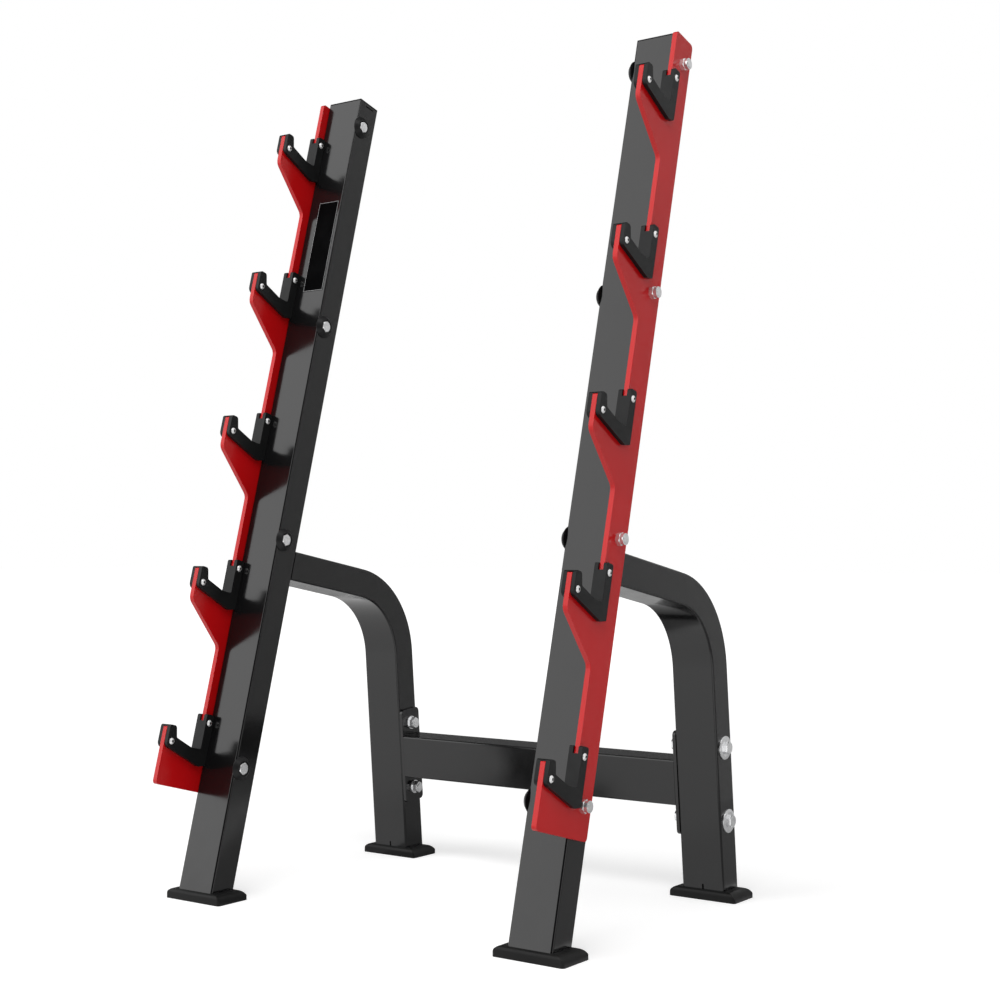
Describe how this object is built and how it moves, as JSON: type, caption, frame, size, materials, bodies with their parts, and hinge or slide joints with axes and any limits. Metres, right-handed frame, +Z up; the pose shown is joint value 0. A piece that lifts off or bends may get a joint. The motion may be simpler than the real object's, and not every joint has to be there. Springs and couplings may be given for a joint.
{
  "type": "barbell storage rack",
  "caption": "Free-standing rack that stores straight barbells on two leaning uprights with plastic-lined steel hooks and bent rear legs.",
  "frame": {"origin": "on the floor, under the middle of the whole rack's box", "axes": "+X to the right along the stored bars, +Y to the rear, +Z up"},
  "size_m": [0.771, 0.612, 1.3824],
  "materials": {
    "black_paint": "glossy black powder coat",
    "red_paint": "glossy red powder coat",
    "liner_plastic": "satin black moulded plastic",
    "cap_plastic": "satin black moulded plastic",
    "hardware": "bright zinc plate"
  },
  "bodies": {
    "root": {"left_upright": "black_paint", "right_upright": "black_paint", "left_top_cap": "cap_plastic", "right_top_cap": "cap_plastic", "left_hook_plate": "red_paint", "right_hook_plate": "red_paint", "left_liner_1": "liner_plastic", "left_liner_2": "liner_plastic", "left_liner_3": "liner_plastic", "left_liner_4": "liner_plastic", "left_liner_5": "liner_plastic", "right_liner_1": "liner_plastic", "right_liner_2": "liner_plastic", "right_liner_3": "liner_plastic", "right_liner_4": "liner_plastic", "right_liner_5": "liner_plastic", "left_liner_screws": "hardware", "right_liner_screws": "hardware", "left_liner_nuts": "hardware", "right_liner_nuts": "hardware", "left_plate_bolts": "hardware", "right_plate_bolts": "hardware", "left_dome_seats": "cap_plastic", "right_dome_seats": "cap_plastic", "left_plate_nuts": "hardware", "right_plate_nuts": "hardware", "left_rear_leg": "black_paint", "right_rear_leg": "black_paint", "crossbar": "black_paint", "left_crossbar_flange": "black_paint", "right_crossbar_flange": "black_paint", "left_crossbar_bolts": "hardware", "right_crossbar_bolts": "hardware", "left_crossbar_seats": "hardware", "right_crossbar_seats": "hardware", "left_crossbar_washers": "hardware", "right_crossbar_washers": "hardware", "left_crossbar_nuts": "hardware", "right_crossbar_nuts": "hardware", "left_front_foot": "cap_plastic", "right_front_foot": "cap_plastic", "left_rear_foot": "cap_plastic", "right_rear_foot": "cap_plastic"}
  },
  "joints": []
}
